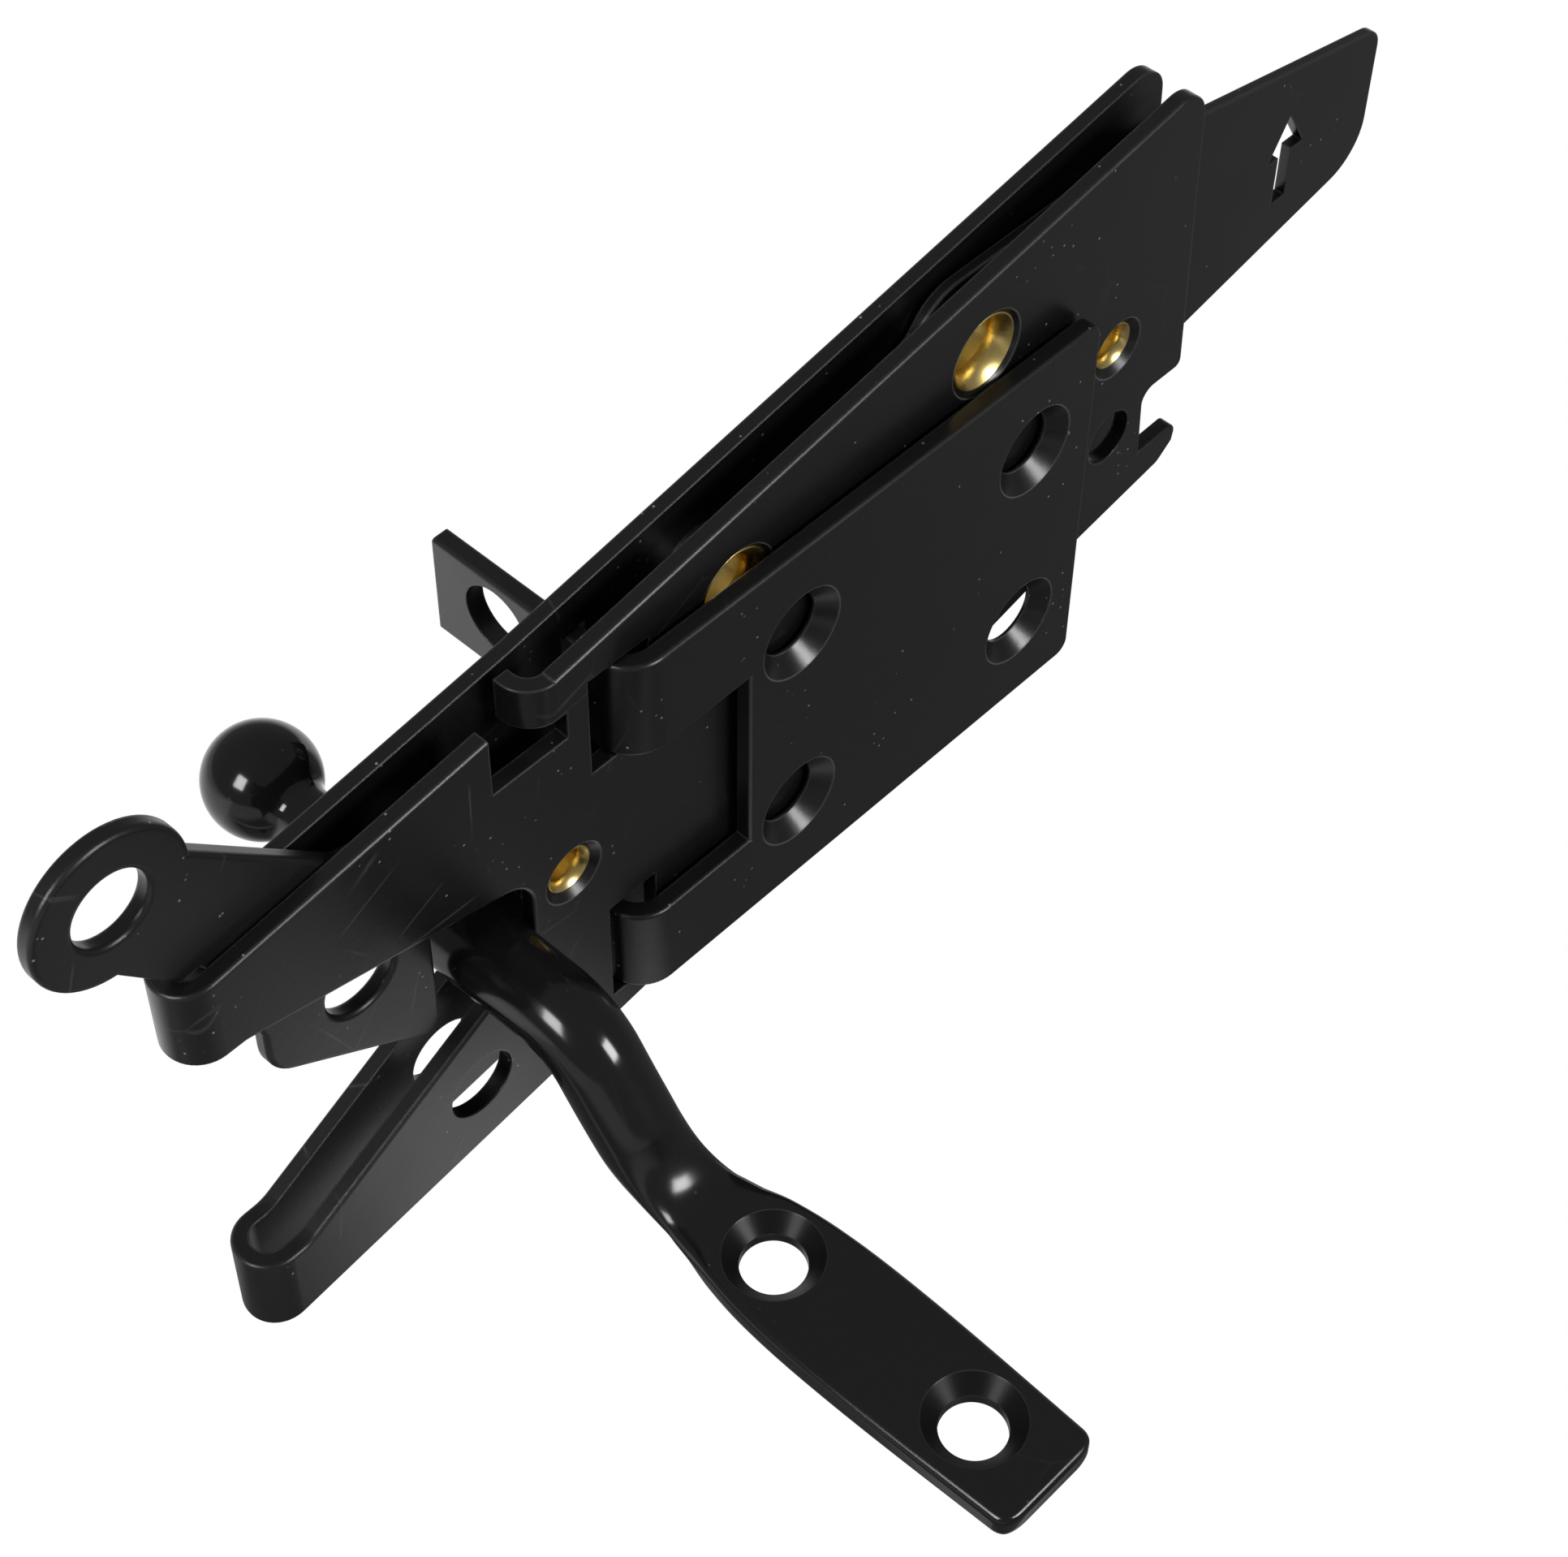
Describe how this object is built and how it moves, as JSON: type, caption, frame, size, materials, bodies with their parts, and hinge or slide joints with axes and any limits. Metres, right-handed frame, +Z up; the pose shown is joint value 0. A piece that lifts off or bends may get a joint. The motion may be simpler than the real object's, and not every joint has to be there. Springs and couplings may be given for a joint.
{
  "type": "gravity latch",
  "caption": "Black steel gravity gate latch with a folded two-plate housing, pull-ring pawl lever, arrow-tail trip lever, fork bracket and a joggled striker bar",
  "frame": {"origin": "centre of the bracket's four screw holes, on the bracket's outer face", "axes": "X along the latch towards its arrow tail, Y from the bracket's outer face into the latch, Z up"},
  "size_m": [0.2055, 0.1106, 0.09],
  "materials": {
    "black_coat": "satin black coat with fine scuffs",
    "brass": "worn brass",
    "bare_steel": "turned steel"
  },
  "bodies": {
    "frame": {"housing": "black_coat", "bracket": "black_coat", "pawl_rivet": "brass", "upper_rivet": "brass", "trip_rivet": "brass", "stop_rivet": "brass", "pawl_bush": "bare_steel", "upper_bush": "bare_steel", "trip_bush": "bare_steel", "stop_bush": "bare_steel", "striker_bar": "black_coat"},
    "pawl": {"pawl_lever": "black_coat", "drive_pin": "bare_steel", "knob": "black_coat"},
    "trip": {"trip_lever": "black_coat"}
  },
  "joints": [
    {"name": "pawl_pivot", "type": "hinge", "parent": "frame", "child": "pawl", "pos_m": [-0.0516, 0.00645, -0.0005], "axis": [0, 1, 0], "range_deg": [0, 20]},
    {"name": "trip_pivot", "type": "hinge", "parent": "frame", "child": "trip", "pos_m": [0.0129, 0.0085, 0.0316], "axis": [0, 1, 0], "range_deg": [-6.1, 0]}
  ],
  "couplings": [
    {"joint": "trip_pivot", "follows": "pawl_pivot", "ratio": -0.3004}
  ]
}
